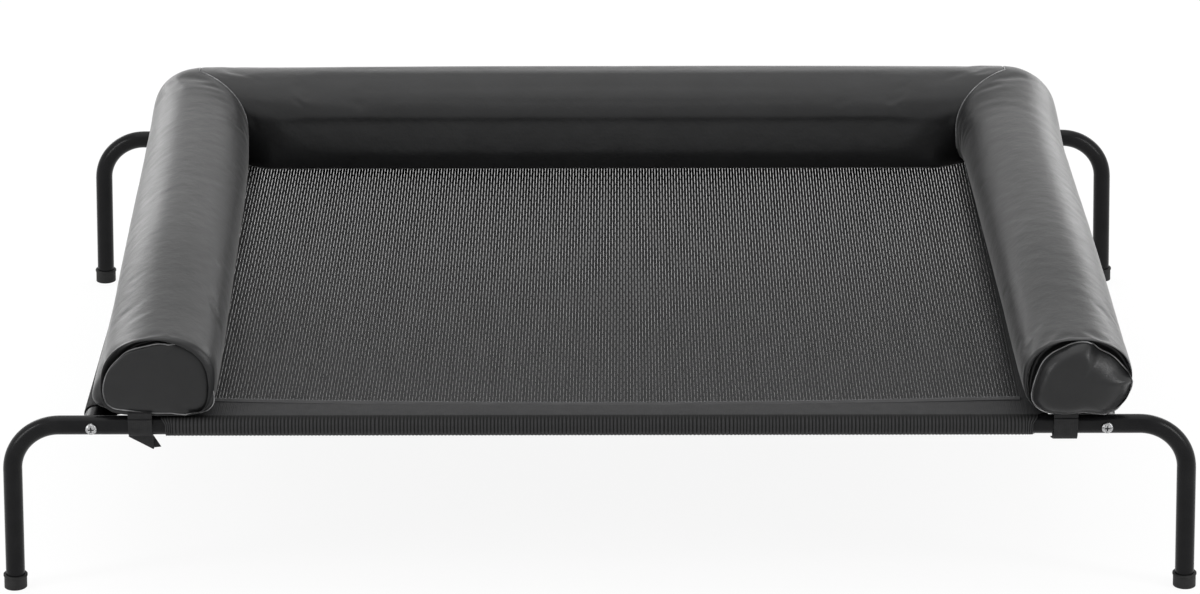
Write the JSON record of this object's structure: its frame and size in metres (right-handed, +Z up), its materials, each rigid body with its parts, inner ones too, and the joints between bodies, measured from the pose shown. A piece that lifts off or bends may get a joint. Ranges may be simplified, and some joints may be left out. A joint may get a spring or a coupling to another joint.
{
  "type": "raised dog cot",
  "caption": "Raised dog cot: bent-tube legs and rails carry a slung mesh bed, with a stuffed bolster round three sides held by hook-and-loop straps.",
  "frame": {"origin": "on the floor, under the middle of the cot", "axes": "+X across the width to the right, +Y to the back where the bolster closes the bed, +Z up"},
  "size_m": [1.257, 0.9056, 0.3015],
  "materials": {
    "frame_tube": "satin black powder coat",
    "foot_cap": "matt moulded",
    "bolt_steel": "zinc plated",
    "nut_plug": "moulded",
    "mesh": "open woven mesh",
    "sleeve_cloth": "ribbed woven cloth",
    "bolster_cover": "smooth dark grey polyester",
    "bolster_fill": "polyester wadding",
    "strap": "woven webbing"
  },
  "bodies": {
    "cot": {"front_left_leg": "frame_tube", "front_right_leg": "frame_tube", "rear_left_leg": "frame_tube", "rear_right_leg": "frame_tube", "front_rail": "frame_tube", "rear_rail": "frame_tube", "left_side_rail": "frame_tube", "right_side_rail": "frame_tube", "front_left_foot_cap": "foot_cap", "front_right_foot_cap": "foot_cap", "rear_left_foot_cap": "foot_cap", "rear_right_foot_cap": "foot_cap", "front_left_bolt": "bolt_steel", "front_right_bolt": "bolt_steel", "rear_left_bolt": "bolt_steel", "rear_right_bolt": "bolt_steel", "front_left_nut_plug": "nut_plug", "front_right_nut_plug": "nut_plug", "rear_left_nut_plug": "nut_plug", "rear_right_nut_plug": "nut_plug", "mesh_panel": "mesh", "front_sleeve": "sleeve_cloth", "rear_sleeve": "sleeve_cloth", "left_sleeve": "sleeve_cloth", "right_sleeve": "sleeve_cloth", "left_bolster_cover": "bolster_cover", "back_bolster_cover": "bolster_cover", "right_bolster_cover": "bolster_cover", "left_bolster_fill": "bolster_fill", "back_bolster_fill": "bolster_fill", "right_bolster_fill": "bolster_fill", "left_end_panel": "bolster_cover", "right_end_panel": "bolster_cover", "front_left_strap_loop": "strap", "front_right_strap_loop": "strap", "rear_left_strap_loop": "strap", "rear_right_strap_loop": "strap"},
    "front_left_strap_hook": {"front_left_strap_hook": "strap"},
    "front_right_strap_hook": {"front_right_strap_hook": "strap"},
    "rear_left_strap_hook": {"rear_left_strap_hook": "strap"},
    "rear_right_strap_hook": {"rear_right_strap_hook": "strap"}
  },
  "joints": [
    {"name": "front_left_strap_peel", "type": "hinge", "parent": "cot", "child": "front_left_strap_hook", "pos_m": [-0.476, -0.4502, 0.1951], "axis": [-1, 0, 0], "range_deg": [0, 100]},
    {"name": "front_right_strap_peel", "type": "hinge", "parent": "cot", "child": "front_right_strap_hook", "pos_m": [0.484, -0.4502, 0.1951], "axis": [-1, 0, 0], "range_deg": [0, 100]},
    {"name": "rear_left_strap_peel", "type": "hinge", "parent": "cot", "child": "rear_left_strap_hook", "pos_m": [-0.476, 0.4502, 0.1951], "axis": [1, 0, 0], "range_deg": [0, 100]},
    {"name": "rear_right_strap_peel", "type": "hinge", "parent": "cot", "child": "rear_right_strap_hook", "pos_m": [0.476, 0.4502, 0.1951], "axis": [1, 0, 0], "range_deg": [0, 100]}
  ]
}
